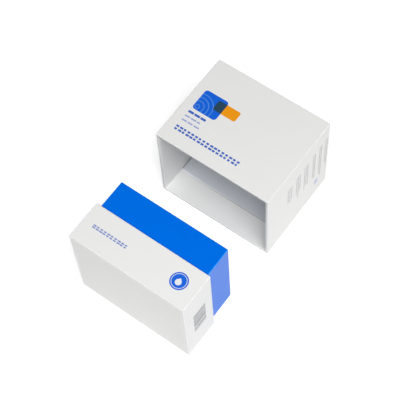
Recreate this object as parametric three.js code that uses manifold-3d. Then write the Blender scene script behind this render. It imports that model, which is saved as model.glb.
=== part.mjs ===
// A two-piece rigid carton for a month's course of single-dose ampoules: a shallow base with a blue
// neck standing in it, and a deep lid that slides down over the neck until its rim meets the base's.
// Every shell is greyboard covered with one sheet of paper that folds over the rim and ends inside.
// The carton is opened and both halves lie on their backs, on one axis, with the lid drawn off the neck.
// Millimetres, +Z up, +Y from the base towards the lid, origin under the middle of the pair.

import * as THREE from "three";
import { RoundedBoxGeometry } from "three/addons/geometries/RoundedBoxGeometry.js";
import { mergeVertices } from "three/addons/utils/BufferGeometryUtils.js";
import Module from "manifold-3d";

// Carton
const CARTON_WIDTH = 100;
const CARTON_DEPTH = 84;
const LID_HEIGHT = 80;
const BASE_HEIGHT = 32;
const NECK_SHOWING = 24.8; // how far the neck stands out of the base's rim

// Sheet stock
const PAPER = 0.2; // covering paper with its glue
const BOARD = 2; // greyboard of the lid and the base
const NECK_BOARD = 1.5; // greyboard of the neck

// Making
const LID_TURN_IN = 20.3; // how far the lid's paper reaches inside from the rim, at the front and the back
const LID_SIDE_TURN_IN = 40; // the same on the two sides
const BASE_TURN_IN = 20;
const NECK_TURN_IN = 15;
const FOLD_RADIUS = 0.35; // outside of a fold in bare board
const CORNER_JOINT = 0.5; // open joint where two walls of a folded board blank meet
const NECK_CLEARANCE = 0.3; // between the neck and what slides over it or holds it

// Layout of the opened carton: the lid closes by sliding this far back along -Y
const LID_DRAWN_OFF = 69.5; // from the base's rim to the lid's rim

// Worked out from the above
const SKIN = PAPER + BOARD; // a wall or a closed end past the turn-in: the inside is bare board
const WALL = SKIN + PAPER; // a wall at the rim
const NECK_INSET = WALL + NECK_CLEARANCE;
const NECK_HEIGHT = BASE_HEIGHT - SKIN + NECK_SHOWING;
const PAIR_LENGTH = BASE_HEIGHT + LID_DRAWN_OFF + LID_HEIGHT;
const BASE_END_Y = -PAIR_LENGTH / 2; // the foot of the base
const LID_END_Y = PAIR_LENGTH / 2; // the closed end of the lid

// Facets
const FOLD_SEGMENTS = 3; // steps round a folded edge
const OVERRUN = 1; // how far a cutter runs past the face that it opens

const wasm = await Module();
wasm.setup();

/** A closed geometry as a solid that can be joined and cut. */
function solidOf(geometry) {
  const bare = geometry.index ? geometry.toNonIndexed() : geometry.clone();
  bare.deleteAttribute("normal");
  bare.deleteAttribute("uv");
  const merged = mergeVertices(bare, 1e-4);
  return new wasm.Manifold(
    new wasm.Mesh({
      numProp: 3,
      vertProperties: merged.attributes.position.array,
      triVerts: new Uint32Array(merged.index.array),
    }),
  );
}

/** The solid's surface as a geometry with flat faces. */
function geometryOf(solid) {
  const { vertProperties, numProp, triVerts } = solid.getMesh();
  const corners = new Float32Array(triVerts.length * 3);
  triVerts.forEach((vertex, corner) => {
    const first = vertex * numProp;
    corners.set(vertProperties.subarray(first, first + 3), corner * 3);
  });
  const geometry = new THREE.BufferGeometry();
  geometry.setAttribute("position", new THREE.BufferAttribute(corners, 3));
  geometry.computeVertexNormals();
  return geometry;
}

/** A block from z = bottom to z = top whose twelve edges are all folds of one radius. */
function foldedBlock(width, depth, bottom, top, radius) {
  const block = new RoundedBoxGeometry(width, depth, top - bottom, FOLD_SEGMENTS, radius);
  return solidOf(block.translate(0, 0, (bottom + top) / 2));
}

/** A plain block from z = bottom to z = top, for cutting with. */
function squareBlock(width, depth, bottom, top, x = 0, y = 0) {
  const block = new THREE.BoxGeometry(width, depth, top - bottom);
  return solidOf(block.translate(x, y, (bottom + top) / 2));
}

/** The open joint at one corner of folded board, cut through the side wall where it meets the long wall. */
function cornerJoint(width, depth, board, bottom, top, side, face) {
  const x = side * (width / 2 - PAPER - board / 2);
  const y = face * (depth / 2 - PAPER - board - CORNER_JOINT / 2);
  return squareBlock(board + 2 * OVERRUN, CORNER_JOINT, bottom, top, x, y);
}

/**
 * A covered tray standing on its closed end at z = 0, with its mouth at z = height.
 * Its board is one blank: an end panel with four walls folded up, open at the corner joints.
 * Its paper is one sheet: over the end and the walls, round the rim, and down inside by turnIn.
 * On the two side walls it may reach deeper, by sideTurnIn, and stops short of the corner joints there.
 */
function coveredTray(width, depth, height, turnIn, sideTurnIn = turnIn) {
  const cover = foldedBlock(width, depth, 0, height, FOLD_RADIUS + PAPER);
  const bare = foldedBlock(width - 2 * PAPER, depth - 2 * PAPER, PAPER, height - PAPER, FOLD_RADIUS);
  const boardInside = [width - 2 * SKIN, depth - 2 * SKIN];
  const mouth = [width - 2 * WALL, depth - 2 * WALL];
  const tray = bare.subtract(squareBlock(...boardInside, SKIN, height + OVERRUN));

  let board = tray;
  for (const side of [-1, 1]) {
    for (const face of [-1, 1]) {
      board = board.subtract(cornerJoint(width, depth, BOARD, SKIN, height, side, face));
    }
  }
  const bareInside = squareBlock(...boardInside, SKIN, height - turnIn);
  const sideFlaps = squareBlock(
    boardInside[0],
    boardInside[1] - 2 * CORNER_JOINT,
    height - sideTurnIn,
    height - turnIn,
  );
  const paper = cover
    .subtract(tray)
    .subtract(sideTurnIn > turnIn ? bareInside.subtract(sideFlaps) : bareInside)
    .subtract(squareBlock(...mouth, SKIN + PAPER, height + OVERRUN));
  return { board, paper };
}

/**
 * The covered neck, a ring open at both ends from z = 0 to z = height.
 * Its board is one strip folded at three corners, with its two ends meeting at the fourth.
 * Its paper covers the outside, rolls over the top edge and runs down inside by turnIn.
 */
function coveredNeck(width, depth, height, turnIn) {
  const skin = PAPER + NECK_BOARD;
  const boardInside = [width - 2 * skin, depth - 2 * skin];
  const mouth = [width - 2 * (skin + PAPER), depth - 2 * (skin + PAPER)];
  const aboveFoot = squareBlock(2 * width, 2 * depth, 0, height + OVERRUN);
  const cover = foldedBlock(width, depth, -height, height, FOLD_RADIUS + PAPER).intersect(aboveFoot);
  const bare = foldedBlock(width - 2 * PAPER, depth - 2 * PAPER, -height, height - PAPER, FOLD_RADIUS);
  const ring = bare
    .intersect(aboveFoot)
    .subtract(squareBlock(...boardInside, -OVERRUN, height + OVERRUN));

  const board = ring.subtract(cornerJoint(width, depth, NECK_BOARD, -OVERRUN, height, 1, -1));
  const paper = cover
    .subtract(ring)
    .subtract(squareBlock(...boardInside, -OVERRUN, height - turnIn))
    .subtract(squareBlock(...mouth, height - turnIn - OVERRUN, height + OVERRUN));
  return { board, paper };
}

/** One named piece of the carton, in its own stock. */
function piece(name, solid, stock) {
  const mesh = new THREE.Mesh(geometryOf(solid), new THREE.MeshStandardMaterial(stock));
  mesh.name = name;
  return mesh;
}

const whitePaper = { color: 0xe9e9e6, roughness: 0.5, metalness: 0 };
const bluePaper = { color: 0x016ae9, roughness: 0.35, metalness: 0 };
const linedBoard = { color: 0xcdd2da, roughness: 0.8, metalness: 0 };

const base = new THREE.Group();
const baseTray = coveredTray(CARTON_WIDTH, CARTON_DEPTH, BASE_HEIGHT, BASE_TURN_IN);
base.add(piece("base_board", baseTray.board, linedBoard));
base.add(piece("base_wrap", baseTray.paper, whitePaper));

const neck = new THREE.Group();
const neckWidth = CARTON_WIDTH - 2 * NECK_INSET;
const neckDepth = CARTON_DEPTH - 2 * NECK_INSET;
const neckRing = coveredNeck(neckWidth, neckDepth, NECK_HEIGHT, NECK_TURN_IN);
neck.add(piece("neck_board", neckRing.board, linedBoard));
neck.add(piece("neck_wrap", neckRing.paper, bluePaper));
neck.position.z = SKIN;
base.add(neck);

const lid = new THREE.Group();
const lidTray = coveredTray(CARTON_WIDTH, CARTON_DEPTH, LID_HEIGHT, LID_TURN_IN, LID_SIDE_TURN_IN);
lid.add(piece("lid_board", lidTray.board, linedBoard));
lid.add(piece("lid_wrap", lidTray.paper, whitePaper));

// Both halves are made standing on their closed ends, and are laid down here mouth to mouth.
base.rotation.x = -Math.PI / 2;
base.position.set(0, BASE_END_Y, CARTON_DEPTH / 2);
lid.rotation.x = Math.PI / 2;
lid.position.set(0, LID_END_Y, CARTON_DEPTH / 2);

const carton = new THREE.Group();
carton.name = "ampoule_carton";
carton.add(base, lid);

export default carton;
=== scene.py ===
"""Finishes an opened two-piece carton for ampoules, and lights it on a plain white ground.

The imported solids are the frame. The greyboard keeps its solids and gets a lined finish. Each shell's
covering paper is folded again here as one thin sheet with soft folds, in the place of its solid.
"""

import math

import bmesh
import bpy
from bpy.props import FloatProperty, FloatVectorProperty, PointerProperty
from mathutils import Matrix, Vector


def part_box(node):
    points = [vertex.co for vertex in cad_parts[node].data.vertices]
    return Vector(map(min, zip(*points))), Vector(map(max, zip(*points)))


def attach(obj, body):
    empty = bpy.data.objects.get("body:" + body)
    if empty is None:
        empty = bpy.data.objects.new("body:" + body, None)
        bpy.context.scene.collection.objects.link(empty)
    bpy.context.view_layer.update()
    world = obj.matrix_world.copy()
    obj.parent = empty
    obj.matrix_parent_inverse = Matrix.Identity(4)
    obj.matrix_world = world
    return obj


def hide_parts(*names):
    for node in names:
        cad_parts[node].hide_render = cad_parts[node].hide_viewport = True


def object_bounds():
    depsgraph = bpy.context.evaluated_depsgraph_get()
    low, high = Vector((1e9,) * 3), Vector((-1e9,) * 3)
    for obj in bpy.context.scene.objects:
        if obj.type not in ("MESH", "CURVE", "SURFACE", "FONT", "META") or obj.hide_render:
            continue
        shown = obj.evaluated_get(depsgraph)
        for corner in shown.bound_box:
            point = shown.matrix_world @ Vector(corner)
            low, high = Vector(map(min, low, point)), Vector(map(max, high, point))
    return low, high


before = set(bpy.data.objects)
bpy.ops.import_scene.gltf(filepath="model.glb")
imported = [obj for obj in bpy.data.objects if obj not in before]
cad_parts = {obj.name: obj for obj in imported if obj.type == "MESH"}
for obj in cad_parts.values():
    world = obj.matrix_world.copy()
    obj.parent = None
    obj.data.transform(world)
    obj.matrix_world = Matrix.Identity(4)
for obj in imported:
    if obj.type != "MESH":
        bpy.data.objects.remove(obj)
CAD_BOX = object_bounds()

bl_info = {
    "name": "Ampoule Carton",
    "version": (1, 0, 0),
    "blender": (4, 5, 0),
    "location": "3D View > Sidebar > Carton",
    "description": "Papers, prints, lights and photographs an opened two-piece carton for ampoules",
    "category": "Object",
}

MM = 0.001


def colour(name, description, default):
    """A colour that a user may change."""
    return FloatVectorProperty(
        name=name, description=description, subtype="COLOR", size=3, min=0, max=1, default=default
    )


def length(name, description, default):
    """A length in metres that a user may change."""
    return FloatProperty(
        name=name, description=description, subtype="DISTANCE", unit="LENGTH", min=0, default=default
    )


def angle(name, description, degrees):
    """An angle that a user may change."""
    return FloatProperty(
        name=name, description=description, subtype="ANGLE", default=math.radians(degrees)
    )


def lamp_power(name, description, default):
    """The power of a lamp in watts, that a user may change."""
    return FloatProperty(
        name=name, description=description, subtype="POWER", unit="POWER", min=0, default=default
    )


class CartonStock(bpy.types.PropertyGroup):
    """The papers and the board that the carton is made of."""

    white: colour("White Paper", "Covering paper of the lid and the base", (0.85, 0.85, 0.84))
    # The two fold colours are a painted highlight along the folds, partly paper that the fold stretches
    # lighter.
    crease_highlight: colour("White Crease", "White paper where a fold has stretched it", (0.89, 0.89, 0.89))
    blue: colour("Blue Paper", "Covering paper of the neck", (0.0, 0.155, 0.79))
    blue_crease_highlight: colour("Blue Crease", "Blue paper along a fold", (0.05, 0.42, 0.95))
    lining: colour("Lining", "Thin paper that lines the greyboard", (0.66, 0.69, 0.73))
    # Margin Colour is a painted highlight: the strip past the lid's turn-in that catches light.
    margin_highlight_tint: colour("Margin Colour", "Pale strip of glue past the lid's turn-in", (0.91, 0.93, 0.95))
    grey_core_and_shadow: colour("Grey Core", "Raw greyboard in the joints, and fine shadows", (0.10, 0.10, 0.10))
    paper: length("Paper", "Thickness of the covering paper with its glue", 0.2 * MM)
    board: length("Board", "Greyboard of the lid and the base", 2 * MM)
    neck_board: length("Neck Board", "Greyboard of the neck", 1.5 * MM)
    fold: length("Fold Radius", "Radius of a papered fold", 0.55 * MM)
    # The width of the painted fold highlight.
    crease_highlight_width: length("Crease Width", "How far the paler line of a fold spreads", 0.75 * MM)
    lid_turn_in: length("Lid Turn-In", "Paper inside the lid's mouth at the front and back", 20.3 * MM)
    lid_side_turn_in: length("Lid Side Turn-In", "Paper inside the lid's mouth at the sides", 40 * MM)
    base_turn_in: length("Base Turn-In", "Paper inside the base's mouth", 20 * MM)
    neck_turn_in: length("Neck Turn-In", "Paper inside the neck's top", 15 * MM)
    joint: length("Corner Joint", "Gap between the lid's side flaps and its corners", 0.5 * MM)
    # Margin Width is the widest reach of that painted highlight strip.
    margin: length("Margin Width", "Pale strip of glue at its widest", 1.9 * MM)


class CartonPrint(bpy.types.PropertyGroup):
    """Plain fields of colour printed on the white paper."""

    blue_ink: colour("Blue Ink", "Panel and disc", (0.002, 0.125, 0.72))
    pale_ink: colour("Pale Ink", "Rings on the blue panel", (0.10, 0.28, 0.78))
    orange_ink: colour("Orange Ink", "Strip beside the blue panel", (0.90, 0.33, 0.002))
    dark_ink: colour("Overlap Ink", "Where blue and orange overlap", (0.017, 0.06, 0.11))
    white_ink: colour("White Ink", "Drop and ring on the disc", (0.82, 0.84, 0.86))
    line_ink: colour("Line Ink", "Rows of blocks on the fronts", (0.06, 0.15, 0.55))
    faint_ink: colour("Faint Ink", "Small rows under the panel", (0.36, 0.42, 0.70))
    grey_ink: colour("Grey Ink", "Rows and bars on the sides", (0.22, 0.23, 0.25))


class CartonStage(bpy.types.PropertyGroup):
    """Where the camera stands, and how strong the light is."""

    aim: FloatVectorProperty(
        name="Aim",
        description="Point on the ground at the middle of the picture",
        subtype="XYZ",
        unit="LENGTH",
        size=3,
        default=(-20.15 * MM, 18.95 * MM, 0),
    )
    distance: length("Distance", "From the aim to the camera", 990.24 * MM)
    azimuth: angle("Azimuth", "How far to the right the camera stands", 40.72)
    elevation: angle("Elevation", "How high the camera stands", 62.05)
    roll: angle("Roll", "Tilt of the camera about its view", -5.15)
    lens: FloatProperty(
        name="Lens",
        description="Focal length on a 36 mm sensor",
        subtype="DISTANCE_CAMERA",
        min=1,
        default=113.37,
    )
    sky: FloatProperty(name="Sky", description="Strength of the light from all round", min=0, default=0.08)
    ground: FloatProperty(
        name="Ground Lift", description="Light added to the ground that the camera sees", min=0, default=0.45
    )
    key: lamp_power("Key", "Lamp high above, to the right", 16)
    side: lamp_power("Side", "Lamp low at the right", 4)
    front: lamp_power("Front", "Lamp high in front", 6.8)


# Node trees


def add(tree, kind, settings=None, **inputs):
    """A new node. An input's name has an underscore for each space, and takes a value or a socket."""
    made = tree.nodes.new(kind)
    for name, value in (settings or {}).items():
        setattr(made, name, value)
    for name, value in inputs.items():
        plug(tree, value, made.inputs[name.replace("_", " ")])
    return made


def plug(tree, value, socket):
    """Links a socket to an input, or sets the input's value."""
    if isinstance(value, bpy.types.NodeSocket):
        tree.links.new(value, socket)
    else:
        socket.default_value = value


def calc(tree, operation, *values, clamp=False):
    """The result of one sum."""
    made = tree.nodes.new("ShaderNodeMath")
    made.operation = operation
    made.use_clamp = clamp
    for socket, value in zip(made.inputs, values):
        plug(tree, value, socket)
    return made.outputs[0]


def vector_calc(tree, operation, *values):
    """The result of one sum on vectors."""
    made = tree.nodes.new("ShaderNodeVectorMath")
    made.operation = operation
    for socket, value in zip(made.inputs, values):
        plug(tree, value, socket)
    return made.outputs["Value" if operation == "LENGTH" else "Vector"]


def ramp(tree, value, start, end, low=0.0, high=1.0):
    """Eases from low at start to high at end."""
    made = add(
        tree,
        "ShaderNodeMapRange",
        {"interpolation_type": "SMOOTHSTEP"},
        Value=value,
        From_Min=start,
        From_Max=end,
        To_Min=low,
        To_Max=high,
    )
    return made.outputs["Result"]


def blend(tree, amount, under, over):
    """One colour laid over another, by a mask."""
    made = tree.nodes.new("ShaderNodeMix")
    made.data_type = "RGBA"
    plug(tree, amount, made.inputs["Factor"])
    for value, socket in ((under, made.inputs[6]), (over, made.inputs[7])):
        plug(tree, value if isinstance(value, bpy.types.NodeSocket) else (*value, 1), socket)
    return made.outputs[2]


def new_group(name, inputs, outputs):
    """An empty node group and its input and output nodes. Inputs are (name, kind, value)."""
    tree = bpy.data.node_groups.new(name, "ShaderNodeTree")
    for label, kind, value in inputs:
        socket = tree.interface.new_socket(label, in_out="INPUT", socket_type="NodeSocket" + kind)
        socket.default_value = value
    for label, kind in outputs:
        tree.interface.new_socket(label, in_out="OUTPUT", socket_type="NodeSocket" + kind)
    return tree, tree.nodes.new("NodeGroupInput").outputs, tree.nodes.new("NodeGroupOutput").inputs


def use(tree, name, **inputs):
    """The outputs of a node group placed in a tree, with its own values."""
    made = tree.nodes.new("ShaderNodeGroup")
    made.node_tree = bpy.data.node_groups[name]
    for label, value in inputs.items():
        plug(tree, value, made.inputs[label.replace("_", " ")])
    return made.outputs


def fold_line_group():
    """A mask along the twelve edges of a box, for the painted highlight along folds and the painted shade in
    inside corners.
    """
    tree, given, result = new_group(
        "Fold Line",
        [
            ("Place", "Vector", (0, 0, 0)),
            ("Low Corner", "Vector", (0, 0, 0)),
            ("High Corner", "Vector", (1, 1, 1)),
            ("Width", "Float", MM),
        ],
        [("Fold", "Float")],
    )
    from_low, from_high = (
        vector_calc(tree, "ABSOLUTE", vector_calc(tree, "SUBTRACT", given["Place"], given[corner]))
        for corner in ("Low Corner", "High Corner")
    )
    nearest = vector_calc(tree, "MINIMUM", from_low, from_high)
    x, y, z = add(tree, "ShaderNodeSeparateXYZ", Vector=nearest).outputs
    # An edge is near where two of the three distances are small, so the middle one is what counts.
    middle = calc(
        tree,
        "MAXIMUM",
        calc(tree, "MINIMUM", x, y),
        calc(tree, "MINIMUM", calc(tree, "MAXIMUM", x, y), z),
    )
    specks = add(tree, "ShaderNodeTexNoise", Vector=given["Place"], Scale=1400, Detail=3)
    uneven = calc(tree, "MULTIPLY_ADD", specks.outputs["Fac"], 0.8, 0.6)
    line = ramp(tree, middle, given["Width"], 0)
    plug(tree, calc(tree, "MULTIPLY", line, uneven, clamp=True), result["Fold"])


def paper_grain_group():
    """Cloudy tone and fine fibres, for paper and board."""
    tree, given, result = new_group(
        "Paper Grain",
        [
            ("Place", "Vector", (0, 0, 0)),
            ("Colour", "Color", (1, 1, 1, 1)),
            ("Cloud", "Float", 0.02),
            ("Fibre", "Float", 0.02),
            ("Fibre Scale", "Float", 2500),
        ],
        [("Colour", "Color"), ("Height", "Float")],
    )
    clouds = add(tree, "ShaderNodeTexNoise", Vector=given["Place"], Scale=60, Detail=4, Roughness=0.55)
    drawn = vector_calc(tree, "MULTIPLY", given["Place"], (1, 0.35, 1))
    fibres = add(
        tree, "ShaderNodeTexNoise", Vector=drawn, Scale=given["Fibre Scale"], Detail=5, Roughness=0.65
    )
    cloud = calc(tree, "MULTIPLY", calc(tree, "SUBTRACT", clouds.outputs["Fac"], 0.5), given["Cloud"])
    fibre = calc(tree, "MULTIPLY", calc(tree, "SUBTRACT", fibres.outputs["Fac"], 0.5), given["Fibre"])
    tone = calc(tree, "ADD", calc(tree, "ADD", cloud, fibre), 1)
    toned = vector_calc(tree, "SCALE", given["Colour"])
    plug(tree, tone, toned.node.inputs["Scale"])
    plug(tree, toned, result["Colour"])
    height = calc(tree, "MULTIPLY_ADD", fibres.outputs["Fac"], 0.4, clouds.outputs["Fac"])
    plug(tree, height, result["Height"])


def printed_panel_group():
    """A rounded rectangle, or a disc where its corner is as large as its halves."""
    tree, given, result = new_group(
        "Printed Panel",
        [
            ("Across", "Float", 0),
            ("Up", "Float", 0),
            ("Middle Across", "Float", 0),
            ("Middle Up", "Float", 0),
            ("Half Width", "Float", 5 * MM),
            ("Half Height", "Float", 5 * MM),
            ("Corner", "Float", MM),
        ],
        [("Mask", "Float"), ("Distance", "Float")],
    )
    beyond = []
    for way, half in (("Across", "Half Width"), ("Up", "Half Height")):
        offset = calc(tree, "ABSOLUTE", calc(tree, "SUBTRACT", given[way], given["Middle " + way]))
        straight = calc(tree, "SUBTRACT", given[half], given["Corner"])
        beyond.append(calc(tree, "SUBTRACT", offset, straight))
    outside = [calc(tree, "MAXIMUM", distance, 0) for distance in beyond]
    corner = add(tree, "ShaderNodeCombineXYZ", X=outside[0], Y=outside[1]).outputs[0]
    inside = calc(tree, "MINIMUM", calc(tree, "MAXIMUM", *beyond), 0)
    edge = calc(tree, "ADD", vector_calc(tree, "LENGTH", corner), inside)
    distance = calc(tree, "SUBTRACT", edge, given["Corner"])
    plug(tree, distance, result["Distance"])
    plug(tree, ramp(tree, distance, 0.06 * MM, -0.06 * MM), result["Mask"])


def printed_rows_group():
    """Rows of plain blocks of uneven length, set from the left, with a ragged right edge."""
    tree, given, result = new_group(
        "Printed Rows",
        [
            ("Across", "Float", 0),
            ("Down", "Float", 0),
            ("Length", "Float", 30 * MM),
            ("Rows", "Float", 1),
            ("Pitch", "Float", 3 * MM),
            ("Height", "Float", MM),
            ("Block", "Float", 4 * MM),
            ("Gap", "Float", 0.25),
            ("Ragged", "Float", 0),
            ("Seed", "Float", 0),
        ],
        [("Mask", "Float")],
    )
    row = calc(tree, "FLOOR", calc(tree, "DIVIDE", given["Down"], given["Pitch"]))
    in_row = calc(tree, "SUBTRACT", given["Down"], calc(tree, "MULTIPLY", row, given["Pitch"]))
    block = calc(tree, "FLOOR", calc(tree, "DIVIDE", given["Across"], given["Block"]))
    in_block = calc(tree, "FRACT", calc(tree, "DIVIDE", given["Across"], given["Block"]))
    row_key = add(tree, "ShaderNodeCombineXYZ", X=row, Y=given["Seed"]).outputs[0]
    block_key = add(tree, "ShaderNodeCombineXYZ", X=row, Y=given["Seed"], Z=block).outputs[0]
    row_chance = add(tree, "ShaderNodeTexWhiteNoise", Vector=row_key).outputs["Value"]
    block_chance = add(tree, "ShaderNodeTexWhiteNoise", Vector=block_key).outputs["Value"]
    shortened = calc(tree, "MULTIPLY", given["Length"], calc(tree, "MULTIPLY", row_chance, given["Ragged"]))
    end = calc(tree, "SUBTRACT", given["Length"], shortened)
    space = calc(tree, "MULTIPLY", given["Gap"], calc(tree, "ADD", block_chance, 0.5))
    mask = calc(tree, "LESS_THAN", in_row, given["Height"])
    for test in (
        calc(tree, "GREATER_THAN", row, -0.5),
        calc(tree, "LESS_THAN", row, calc(tree, "SUBTRACT", given["Rows"], 0.5)),
        calc(tree, "GREATER_THAN", given["Across"], 0),
        calc(tree, "LESS_THAN", given["Across"], end),
        calc(tree, "LESS_THAN", in_block, calc(tree, "SUBTRACT", 1, space)),
    ):
        mask = calc(tree, "MULTIPLY", mask, test)
    plug(tree, mask, result["Mask"])


def start_material(name):
    """An empty material: its tree, its object coordinates and its shader."""
    made = bpy.data.materials.new(name)
    made.use_nodes = True
    tree = made.node_tree
    tree.nodes.clear()
    place = tree.nodes.new("ShaderNodeTexCoord").outputs["Object"]
    shader = tree.nodes.new("ShaderNodeBsdfPrincipled")
    finish = tree.nodes.new("ShaderNodeOutputMaterial")
    tree.links.new(shader.outputs["BSDF"], finish.inputs["Surface"])
    return made, tree, place, shader


def paper_surface(tree, place, shader, tint, cloud, fibre, scale, relief):
    """Lays grain over a tint, and lifts the fibres a little."""
    grain = use(tree, "Paper Grain", Place=place, Colour=tint, Cloud=cloud, Fibre=fibre, Fibre_Scale=scale)
    bump = add(tree, "ShaderNodeBump", Height=grain["Height"], Strength=relief, Distance=0.05 * MM)
    plug(tree, grain["Colour"], shader.inputs["Base Color"])
    plug(tree, bump.outputs["Normal"], shader.inputs["Normal"])


def paint_crease_highlight(tree, place, tint, crease_highlight, box, wall, width):
    """Paints a highlight along the folds of a shell, outside and round the inside of its rim; the fold also
    stretches the paper a little lighter.
    """
    low, high = box
    inner = Vector((wall, 0, wall))
    outside = use(tree, "Fold Line", Place=place, Low_Corner=low, High_Corner=high, Width=width)["Fold"]
    inside = use(
        tree, "Fold Line", Place=place, Low_Corner=low + inner, High_Corner=high - inner, Width=width
    )["Fold"]
    return blend(tree, calc(tree, "MAXIMUM", outside, inside), tint, crease_highlight)


# Rows of plain blocks, in millimetres from the panel's corner, with the gap and the ragged edge as shares:
# across, down, length, rows, pitch, height, block, gap, ragged
HEADING_ROWS = ((8, 64.3, 57.5, 2, 2.6, 1.7, 3.4, 0.3, 0.04), (8, 49.2, 16.5, 1, 2, 2, 5.5, 0.14, 0))
SMALL_ROWS = ((8, 53.9, 21.5, 2, 4, 1.3, 5.4, 0.16, 0.5),)
LID_SIDE_ROWS = (
    (17.5, 2, 48, 2, 2.1, 0.95, 4.1, 0.24, 0.3),
    (17.5, 9.6, 46, 2, 2.1, 0.95, 3.7, 0.24, 0.25),
    (18.2, 18, 43, 2, 2.1, 0.95, 4.4, 0.24, 0.3),
    (19.5, 27.4, 38, 3, 2.1, 0.95, 3.9, 0.24, 0.25),
    (20.5, 37.6, 33, 3, 2.3, 1.05, 4.3, 0.24, 0.3),
    (22, 48.6, 25, 3, 2.3, 1.05, 4.3, 0.24, 0.3),
)
BASE_ROWS = ((9, 14.4, 30, 2, 1.7, 1.1, 3.1, 0.3, 0.05),)
BASE_SIDE_BARS = ((29, 9.7, 28, 1, 13.8, 13.8, 2.45, 0.42, 0), (29.4, 9.7, 27, 1, 13.8, 13.8, 1.35, 0.6, 0))

# Printed panels, in millimetres: the middle across and down, half the size, the corner's radius
LID_STRIP = ((31.5, 34.5), (10, 4.6), 1.8)
LID_FIELD = ((18.5, 37), (10.5, 9.5), 2.6)
LID_SIDE_PATCH = ((65, 15), (3, 2), 0.8)
BASE_DISC = ((84.3, 15.2), (6.85, 6.85), 6.85)

# Marks on the panels, in millimetres
RINGS_MIDDLE = (11, 43.5)
RINGS_PITCH = 3.4
RINGS_REACH = 13
DROP_MIDDLE = (84.3, 16.2)
DROP_RADIUS = 2.4
DROP_POINT_RADIUS = 0.15
DISC_RING_INSET = 1.25
DISC_RING_HALF_WIDTH = 0.2
PRINT_DEPTH = 0.3  # a point this near a shell's flat face counts as on it


def rows_mask(tree, across, down, tables, seed):
    """Every row of a table in one mask."""
    mask = 0.0
    for number, (left, top, run, count, pitch, tall, block, gap, ragged) in enumerate(tables):
        row = use(
            tree,
            "Printed Rows",
            Across=calc(tree, "SUBTRACT", across, left * MM),
            Down=calc(tree, "SUBTRACT", down, top * MM),
            Length=run * MM,
            Rows=count,
            Pitch=pitch * MM,
            Height=tall * MM,
            Block=block * MM,
            Gap=gap,
            Ragged=ragged,
            Seed=seed + number,
        )
        mask = calc(tree, "MAXIMUM", mask, row["Mask"])
    return mask


def panel(tree, across, down, middle, half, corner):
    """One printed panel, in millimetres."""
    return use(
        tree,
        "Printed Panel",
        Across=across,
        Up=down,
        Middle_Across=middle[0] * MM,
        Middle_Up=middle[1] * MM,
        Half_Width=half[0] * MM,
        Half_Height=half[1] * MM,
        Corner=corner * MM,
    )


def print_on(tree, face, mask, tint, ink, strength=1.0):
    """Lays ink over a tint, on one face of the shell only."""
    held = calc(tree, "MULTIPLY", calc(tree, "MULTIPLY", face, mask), strength)
    return blend(tree, held, tint, tuple(ink))


def printed_faces(tree, place, box):
    """Masks of the front and the right side, the ways across the front and down the side, and y."""
    low, high = box
    x, y, z = add(tree, "ShaderNodeSeparateXYZ", Vector=place).outputs
    front = calc(tree, "GREATER_THAN", z, high.z - PRINT_DEPTH * MM)
    side = calc(tree, "GREATER_THAN", x, high.x - PRINT_DEPTH * MM)
    return front, side, calc(tree, "SUBTRACT", x, low.x), calc(tree, "SUBTRACT", high.z, z), y


def lid_print(tree, place, tint, ink, box):
    """Plain print on the lid: panel, strip and rows on the front, small rows on the right side."""
    front, side, across, below, y = printed_faces(tree, place, box)
    down = calc(tree, "SUBTRACT", box[1].y, y)

    strip = panel(tree, across, down, *LID_STRIP)["Mask"]
    field = panel(tree, across, down, *LID_FIELD)["Mask"]
    ripple = panel(tree, across, down, RINGS_MIDDLE, (0, 0), 0)["Distance"]
    wave = calc(tree, "FRACT", calc(tree, "DIVIDE", ripple, RINGS_PITCH * MM))
    ring = calc(tree, "LESS_THAN", calc(tree, "ABSOLUTE", calc(tree, "SUBTRACT", wave, 0.5)), 0.09)
    near = calc(tree, "LESS_THAN", ripple, RINGS_REACH * MM)
    rings = calc(tree, "MULTIPLY", field, calc(tree, "MULTIPLY", ring, near))
    tint = print_on(tree, front, strip, tint, ink.orange_ink)
    tint = print_on(tree, front, field, tint, ink.blue_ink)
    tint = print_on(tree, front, rings, tint, ink.pale_ink)
    tint = print_on(tree, front, calc(tree, "MULTIPLY", field, strip), tint, ink.dark_ink)
    tint = print_on(tree, front, rows_mask(tree, across, down, HEADING_ROWS, 1), tint, ink.line_ink)
    tint = print_on(tree, front, rows_mask(tree, across, down, SMALL_ROWS, 5), tint, ink.faint_ink)

    tint = print_on(tree, side, rows_mask(tree, below, down, LID_SIDE_ROWS, 7), tint, ink.grey_ink, 0.75)
    patch = panel(tree, below, down, *LID_SIDE_PATCH)["Mask"]
    return print_on(tree, side, patch, tint, ink.faint_ink, 0.7)


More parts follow.
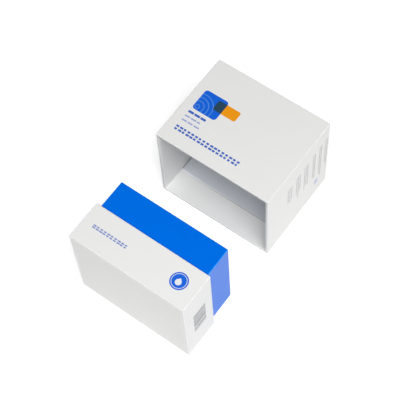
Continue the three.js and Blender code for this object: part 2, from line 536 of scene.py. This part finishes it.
def base_print(tree, place, tint, ink, box):
    """Plain print on the base: a row and a disc on the front, a block of bars on the right side."""
    front, side, across, below, y = printed_faces(tree, place, box)
    down = calc(tree, "SUBTRACT", box[1].y, y)
    tint = print_on(tree, front, rows_mask(tree, across, down, BASE_ROWS, 3), tint, ink.line_ink, 0.85)

    disc = panel(tree, across, down, *BASE_DISC)
    from_ring = calc(tree, "ABSOLUTE", calc(tree, "ADD", disc["Distance"], DISC_RING_INSET * MM))
    ring = calc(tree, "LESS_THAN", from_ring, DISC_RING_HALF_WIDTH * MM)
    # The drop is a circle and a square whose corner points up, so it is drawn on axes turned by 45 degrees.
    right = calc(tree, "SUBTRACT", across, DROP_MIDDLE[0] * MM)
    rise = calc(tree, "SUBTRACT", DROP_MIDDLE[1] * MM, down)
    lean = calc(tree, "MULTIPLY", calc(tree, "ADD", right, rise), math.sqrt(0.5))
    back = calc(tree, "MULTIPLY", calc(tree, "SUBTRACT", rise, right), math.sqrt(0.5))
    half = DROP_RADIUS / 2
    round_part = panel(tree, lean, back, (0, 0), (DROP_RADIUS, DROP_RADIUS), DROP_RADIUS)["Mask"]
    point = panel(tree, lean, back, (half, half), (half, half), DROP_POINT_RADIUS)["Mask"]
    white = calc(tree, "MAXIMUM", calc(tree, "MAXIMUM", round_part, point), ring)
    tint = print_on(tree, front, disc["Mask"], tint, ink.blue_ink)
    tint = print_on(tree, front, white, tint, ink.white_ink)

    up = calc(tree, "SUBTRACT", y, box[0].y)
    return print_on(tree, side, rows_mask(tree, below, up, BASE_SIDE_BARS, 11), tint, ink.grey_ink, 0.85)


def white_paper(name, box, wall, stock, printing, ink):
    """White covering paper under a satin film, with its print."""
    made, tree, place, shader = start_material(name)
    tint = printing(tree, place, tuple(stock.white), ink, box)
    tint = paint_crease_highlight(tree, place, tint, stock.crease_highlight, box, wall, stock.crease_highlight_width)
    paper_surface(tree, place, shader, tint, cloud=0.02, fibre=0.03, scale=2600, relief=0.25)
    shader.inputs["Roughness"].default_value = 0.48
    shader.inputs["Specular IOR Level"].default_value = 0.4
    return made


def blue_paper(name, box, wall, stock):
    """Bright blue covering paper with a soft gloss."""
    made, tree, place, shader = start_material(name)
    tint = paint_crease_highlight(tree, place, tuple(stock.blue), stock.blue_crease_highlight, box, wall, stock.crease_highlight_width)
    paper_surface(tree, place, shader, tint, cloud=0.05, fibre=0.05, scale=2600, relief=0.2)
    shader.inputs["Roughness"].default_value = 0.36
    shader.inputs["Specular IOR Level"].default_value = 0.3
    shader.inputs["Specular Tint"].default_value = (0.03, 0.5, 0.6, 1)
    return made


def margin_highlight_and_shadow(tree, place, stock, rim, left, right, floor):
    """Masks on the back panel just past the lid's turn-in: a painted highlight strip, and the painted shadow
    of the paper's edge.

    The highlight strip fades and narrows towards the right, where the paper lifts more and its painted shadow
    is stronger.
    """
    x, y, z = add(tree, "ShaderNodeSeparateXYZ", Vector=place).outputs
    wander = add(tree, "ShaderNodeTexNoise", Vector=place, Scale=90, Detail=2).outputs["Fac"]
    along = ramp(tree, x, left, right, 1, 0.6)
    low = calc(tree, "LESS_THAN", z, floor)
    wide = calc(tree, "MULTIPLY", calc(tree, "MULTIPLY", along, stock.margin), calc(tree, "ADD", wander, 0.5))
    past = calc(tree, "SUBTRACT", y, rim + stock.lid_turn_in)
    strip = ramp(tree, calc(tree, "SUBTRACT", past, wide), 0.25 * MM, -0.25 * MM)
    margin_highlight_mask = calc(tree, "MULTIPLY", calc(tree, "MULTIPLY", strip, low), calc(tree, "MULTIPLY", along, 0.85))
    lifted = calc(tree, "MULTIPLY", low, ramp(tree, x, left, right, 0, 0.85))
    shadow = calc(tree, "MULTIPLY", ramp(tree, past, 0.6 * MM, 0.3 * MM), lifted)
    return margin_highlight_mask, shadow


def lined_board(name, stock, low, high, skin, glued):
    """Greyboard lined with thin paper inside: raw greyboard shows in the cut joints, and painted shade
    darkens its inside corners.

    A glued one also gets a painted highlight strip and the painted shadow of the paper's edge past the
    covering paper's turn-in.
    """
    made, tree, place, shader = start_material(name)
    x, _, z = add(tree, "ShaderNodeSeparateXYZ", Vector=place).outputs
    depth = []
    for way, least, most in ((x, low.x, high.x), (z, low.z, high.z)):
        from_low = calc(tree, "SUBTRACT", way, least)
        from_high = calc(tree, "SUBTRACT", most, way)
        depth.append(calc(tree, "MINIMUM", from_low, from_high))
    inside = calc(tree, "MINIMUM", *depth)
    inset = Vector((skin, skin, skin))
    # Painted shade along the inside corners, where the joints between the walls fall in shadow.
    corner = use(
        tree, "Fold Line", Place=place, Low_Corner=low + inset, High_Corner=high - inset, Width=1.1 * MM
    )["Fold"]
    core_and_shade_mask = calc(tree, "LESS_THAN", inside, skin - 0.05 * MM)
    core_and_shade_mask = calc(tree, "MAXIMUM", core_and_shade_mask, calc(tree, "MULTIPLY", corner, 0.8))
    tint = blend(tree, core_and_shade_mask, tuple(stock.lining), tuple(stock.grey_core_and_shadow))
    if glued:
        middle = (low.x + high.x) / 2
        margin_highlight_mask, shadow = margin_highlight_and_shadow(
            tree, place, stock, low.y - stock.paper, low.x, middle + 12 * MM, low.z + 3 * MM
        )
        # Painted highlight strip past the turn-in, then the painted shadow of the paper's edge.
        tint = blend(tree, margin_highlight_mask, tint, tuple(stock.margin_highlight_tint))
        tint = blend(tree, shadow, tint, tuple(stock.grey_core_and_shadow))
    paper_surface(tree, place, shader, tint, cloud=0.05, fibre=0.08, scale=1500, relief=0.5)
    shader.inputs["Roughness"].default_value = 0.7
    shader.inputs["Specular IOR Level"].default_value = 0.25
    return made


# Sheets of covering paper

NEAR = 0.01 * MM  # a vertex this near a plane counts as on it


def roll_in(sheet, width, depth, wall, turn_in):
    """Takes the sheet's free edges over the rim and down inside the mouth."""
    rim = [edge for edge in sheet.edges if edge.is_boundary and edge.verts[0].co.z > 0 < edge.verts[1].co.z]
    over = bmesh.ops.extrude_edge_only(sheet, edges=rim)["geom"]
    turned = [item for item in over if isinstance(item, bmesh.types.BMVert)]
    bmesh.ops.scale(sheet, vec=(1 - 2 * wall / width, 1 - 2 * wall / depth, 1), verts=turned)
    rim = [item for item in over if isinstance(item, bmesh.types.BMEdge) and item.is_boundary]
    down = bmesh.ops.extrude_edge_only(sheet, edges=rim)["geom"]
    turned = [item for item in down if isinstance(item, bmesh.types.BMVert)]
    bmesh.ops.translate(sheet, vec=(0, 0, -turn_in), verts=turned)


def deepen_sides(sheet, width, depth, wall, extra, gap):
    """Draws the flaps of the two side walls farther in, clear of the corners by the gap."""
    half = depth / 2 - wall - gap

    def on_side_wall(part):
        return all(abs(abs(vert.co.x) - width / 2 + wall) < NEAR for vert in part.verts)

    for cut in (-half, half):
        inner = [face for face in sheet.faces if on_side_wall(face)]
        parts = dict.fromkeys(part for face in inner for part in (face, *face.edges, *face.verts))
        bmesh.ops.bisect_plane(sheet, geom=list(parts), plane_co=(0, cut, 0), plane_no=(0, 1, 0), dist=1e-6)
    ends = [
        edge
        for edge in sheet.edges
        if edge.is_boundary
        and on_side_wall(edge)
        and all(abs(vert.co.y) < half + NEAR for vert in edge.verts)
    ]
    made = bmesh.ops.extrude_edge_only(sheet, edges=ends)["geom"]
    turned = [item for item in made if isinstance(item, bmesh.types.BMVert)]
    bmesh.ops.translate(sheet, vec=(0, 0, -extra), verts=turned)


def fold_sheet(width, depth, height, wall, turn_in, radius, closed, side_extra=0, gap=0):
    """A sheet folded round a tray that stands on z = 0, or round a neck that is open below."""
    sheet = bmesh.new()
    bmesh.ops.create_cube(sheet, size=1)
    bmesh.ops.scale(sheet, vec=(width, depth, height), verts=sheet.verts)
    bmesh.ops.translate(sheet, vec=(0, 0, height / 2), verts=sheet.verts)
    sheet.normal_update()
    ends = [face for face in sheet.faces if face.normal.z > 0.5 or (face.normal.z < -0.5 and not closed)]
    bmesh.ops.delete(sheet, geom=ends, context="FACES_ONLY")
    roll_in(sheet, width, depth, wall, turn_in)
    sheet.normal_update()
    folds = [
        edge for edge in sheet.edges if not edge.is_boundary and edge.calc_face_angle() > math.radians(30)
    ]
    bmesh.ops.bevel(
        sheet,
        geom=folds,
        offset=radius,
        offset_type="OFFSET",
        segments=5,
        profile=0.5,
        affect="EDGES",
        clamp_overlap=True,
        material=-1,
    )
    if side_extra > 0:
        deepen_sides(sheet, width, depth, wall, side_extra, gap)
    for face in sheet.faces:
        face.smooth = True
    return sheet


def lay_down(sheet, foot, turn):
    """Turns a standing sheet onto its back, with its closed end at the foot."""
    bmesh.ops.rotate(sheet, cent=(0, 0, 0), matrix=Matrix.Rotation(turn, 3, "X"), verts=sheet.verts)
    bmesh.ops.translate(sheet, vec=foot, verts=sheet.verts)


def finish_sheet(name, sheet, thickness, material, body, node):
    """Makes the sheet an object of the paper's thickness, in the place of its solid."""
    mesh = bpy.data.meshes.new(name)
    sheet.to_mesh(mesh)
    sheet.free()
    mesh.materials.append(material)
    made = bpy.data.objects.new(name, mesh)
    bpy.context.scene.collection.objects.link(made)
    solid = made.modifiers.new("Thickness", "SOLIDIFY")
    solid.thickness = thickness
    solid.offset = -1
    solid.use_even_offset = True
    shade = made.modifiers.new("Flat Panels", "WEIGHTED_NORMAL")
    shade.keep_sharp = False
    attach(made, body)
    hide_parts(node)
    return made


class CARTON_OT_prepare_effects(bpy.types.Operator):
    """Builds the shared effects: fold masks for the painted highlights and corner shade, grain and print"""

    bl_idname = "carton.prepare_effects"
    bl_label = "Prepare Effects"

    def execute(self, context):
        fold_line_group()
        paper_grain_group()
        printed_panel_group()
        printed_rows_group()
        return {"FINISHED"}


class CARTON_OT_paper_lid(bpy.types.Operator):
    """Folds the lid's white paper round its board"""

    bl_idname = "carton.paper_lid"
    bl_label = "Paper the Lid"

    def execute(self, context):
        stock = context.scene.carton_stock
        low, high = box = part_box("lid_wrap")
        size = high - low
        wall = 2 * stock.paper + stock.board
        extra = stock.lid_side_turn_in - stock.lid_turn_in
        sheet = fold_sheet(
            size.x, size.z, size.y, wall, stock.lid_turn_in, stock.fold, True, extra, stock.joint
        )
        lay_down(sheet, (0, high.y, (low.z + high.z) / 2), math.pi / 2)
        paper = white_paper("Lid Paper", box, wall, stock, lid_print, context.scene.carton_print)
        finish_sheet("lid_paper", sheet, stock.paper, paper, "lid", "lid_wrap")
        return {"FINISHED"}


class CARTON_OT_paper_base(bpy.types.Operator):
    """Folds the base's white paper round its board"""

    bl_idname = "carton.paper_base"
    bl_label = "Paper the Base"

    def execute(self, context):
        stock = context.scene.carton_stock
        low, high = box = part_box("base_wrap")
        size = high - low
        wall = 2 * stock.paper + stock.board
        sheet = fold_sheet(size.x, size.z, size.y, wall, stock.base_turn_in, stock.fold, True)
        lay_down(sheet, (0, low.y, (low.z + high.z) / 2), -math.pi / 2)
        paper = white_paper("Base Paper", box, wall, stock, base_print, context.scene.carton_print)
        finish_sheet("base_paper", sheet, stock.paper, paper, "base", "base_wrap")
        return {"FINISHED"}


class CARTON_OT_paper_neck(bpy.types.Operator):
    """Folds the neck's blue paper round its board"""

    bl_idname = "carton.paper_neck"
    bl_label = "Paper the Neck"

    def execute(self, context):
        stock = context.scene.carton_stock
        low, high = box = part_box("neck_wrap")
        size = high - low
        wall = 2 * stock.paper + stock.neck_board
        sheet = fold_sheet(size.x, size.z, size.y, wall, stock.neck_turn_in, stock.fold, False)
        lay_down(sheet, (0, low.y, (low.z + high.z) / 2), -math.pi / 2)
        paper = blue_paper("Neck Paper", box, wall, stock)
        finish_sheet("neck_paper", sheet, stock.paper, paper, "base", "neck_wrap")
        return {"FINISHED"}


class CARTON_OT_line_boards(bpy.types.Operator):
    """Gives the greyboard of the lid, the base and the neck its lining"""

    bl_idname = "carton.line_boards"
    bl_label = "Line the Boards"

    def execute(self, context):
        stock = context.scene.carton_stock
        for name, thickness in (
            ("lid_board", stock.board),
            ("base_board", stock.board),
            ("neck_board", stock.neck_board),
        ):
            low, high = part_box(name)
            label = name.replace("_", " ").title() + " Lining"
            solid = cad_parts[name]
            solid.data.materials.clear()
            glued = name == "lid_board"
            solid.data.materials.append(lined_board(label, stock, low, high, thickness, glued))
        return {"FINISHED"}


def ground(stage):
    """A wide white ground that keeps the carton's shadow."""
    sheet = bmesh.new()
    bmesh.ops.create_circle(sheet, cap_ends=True, segments=64, radius=6)
    mesh = bpy.data.meshes.new("ground")
    sheet.to_mesh(mesh)
    sheet.free()
    made = bpy.data.objects.new("ground", mesh)
    bpy.context.scene.collection.objects.link(made)
    made.location.z = CAD_BOX[0].z

    material = bpy.data.materials.new("Ground")
    material.use_nodes = True
    tree = material.node_tree
    tree.nodes.clear()
    path = tree.nodes.new("ShaderNodeLightPath").outputs
    seen = calc(tree, "MAXIMUM", path["Is Camera Ray"], path["Is Glossy Ray"])
    seen = calc(tree, "MAXIMUM", seen, path["Is Transmission Ray"])
    matt = add(tree, "ShaderNodeBsdfDiffuse", Color=(0.9, 0.9, 0.9, 1))
    lift = add(tree, "ShaderNodeEmission", Strength=calc(tree, "MULTIPLY", seen, stage.ground))
    both = tree.nodes.new("ShaderNodeAddShader")
    tree.links.new(matt.outputs[0], both.inputs[0])
    tree.links.new(lift.outputs[0], both.inputs[1])
    finish = tree.nodes.new("ShaderNodeOutputMaterial")
    tree.links.new(both.outputs[0], finish.inputs["Surface"])
    mesh.materials.append(material)


def sky(stage):
    """Even light from all round, and plain white wherever the camera looks past the ground."""
    world = bpy.data.worlds.new("Studio")
    bpy.context.scene.world = world
    world.use_nodes = True
    tree = world.node_tree
    tree.nodes.clear()
    path = tree.nodes.new("ShaderNodeLightPath").outputs
    strength = calc(tree, "MAXIMUM", path["Is Camera Ray"], stage.sky)
    shade = add(tree, "ShaderNodeBackground", Color=(1, 1, 1, 1), Strength=strength)
    finish = tree.nodes.new("ShaderNodeOutputWorld")
    tree.links.new(shade.outputs[0], finish.inputs["Surface"])


# The lamps: name, place and width in metres
LAMPS = (
    ("key", (0.6, -0.4, 1.5), 0.8),
    ("side", (1.3, -0.2, 0.6), 0.8),
    ("front", (0.1, -0.7, 1.3), 1.0),
)


def lamp(name, place, size, power, target):
    """A large soft lamp that faces the target."""
    data = bpy.data.lights.new(name, "AREA")
    data.shape = "DISK"
    data.size = size
    data.energy = power
    made = bpy.data.objects.new(name, data)
    made.location = place
    made.rotation_euler = (target - made.location).to_track_quat("-Z", "Y").to_euler()
    bpy.context.scene.collection.objects.link(made)


def camera(stage):
    """The photograph's camera."""
    data = bpy.data.cameras.new("camera")
    data.lens = stage.lens
    data.sensor_width = 36
    data.clip_start = 0.01
    data.clip_end = 20
    made = bpy.data.objects.new("camera", data)
    flat = math.cos(stage.elevation)
    right = math.sin(stage.azimuth) * flat
    forward = -math.cos(stage.azimuth) * flat
    back = Vector((right, forward, math.sin(stage.elevation)))
    made.location = Vector(stage.aim) + back * stage.distance
    level = (-back).to_track_quat("-Z", "Y").to_matrix()
    made.rotation_euler = (level @ Matrix.Rotation(stage.roll, 3, "Z")).to_euler()
    bpy.context.scene.collection.objects.link(made)
    bpy.context.scene.camera = made


class CARTON_OT_set_stage(bpy.types.Operator):
    """Sets the white ground, the soft lamps and the photograph's camera"""

    bl_idname = "carton.set_stage"
    bl_label = "Set the Stage"

    def execute(self, context):
        stage = context.scene.carton_stage
        context.scene.view_settings.view_transform = "Standard"
        middle = (CAD_BOX[0] + CAD_BOX[1]) / 2
        ground(stage)
        sky(stage)
        for name, place, size in LAMPS:
            lamp(name, Vector(place), size, getattr(stage, name), middle)
        camera(stage)
        return {"FINISHED"}


class CARTON_PT_panel(bpy.types.Panel):
    """Lists the steps and the settings in the sidebar"""

    bl_idname = "CARTON_PT_panel"
    bl_label = "Ampoule Carton"
    bl_space_type = "VIEW_3D"
    bl_region_type = "UI"
    bl_category = "Carton"

    def draw(self, context):
        for step in STEPS:
            self.layout.operator(step.bl_idname)
        for settings in (context.scene.carton_stock, context.scene.carton_print, context.scene.carton_stage):
            box = self.layout.box()
            for name in settings.__annotations__:
                box.prop(settings, name)


STEPS = (
    CARTON_OT_prepare_effects,
    CARTON_OT_paper_lid,
    CARTON_OT_paper_base,
    CARTON_OT_paper_neck,
    CARTON_OT_line_boards,
    CARTON_OT_set_stage,
)
SETTINGS = (CartonStock, CartonPrint, CartonStage)


def register():
    """Adds the settings, the steps and the panel."""
    for kind in (*SETTINGS, *STEPS, CARTON_PT_panel):
        bpy.utils.register_class(kind)
    bpy.types.Scene.carton_stock = PointerProperty(type=CartonStock)
    bpy.types.Scene.carton_print = PointerProperty(type=CartonPrint)
    bpy.types.Scene.carton_stage = PointerProperty(type=CartonStage)


def unregister():
    """Takes away what register added."""
    del bpy.types.Scene.carton_stage
    del bpy.types.Scene.carton_print
    del bpy.types.Scene.carton_stock
    for kind in reversed((*SETTINGS, *STEPS, CARTON_PT_panel)):
        bpy.utils.unregister_class(kind)


def main():
    """Finishes the carton at the sizes of its solids, and lights it."""
    register()
    bpy.ops.carton.prepare_effects()
    bpy.ops.carton.paper_lid()
    bpy.ops.carton.paper_base()
    bpy.ops.carton.paper_neck()
    bpy.ops.carton.line_boards()
    bpy.ops.carton.set_stage()


if __name__ == "__main__":
    main()
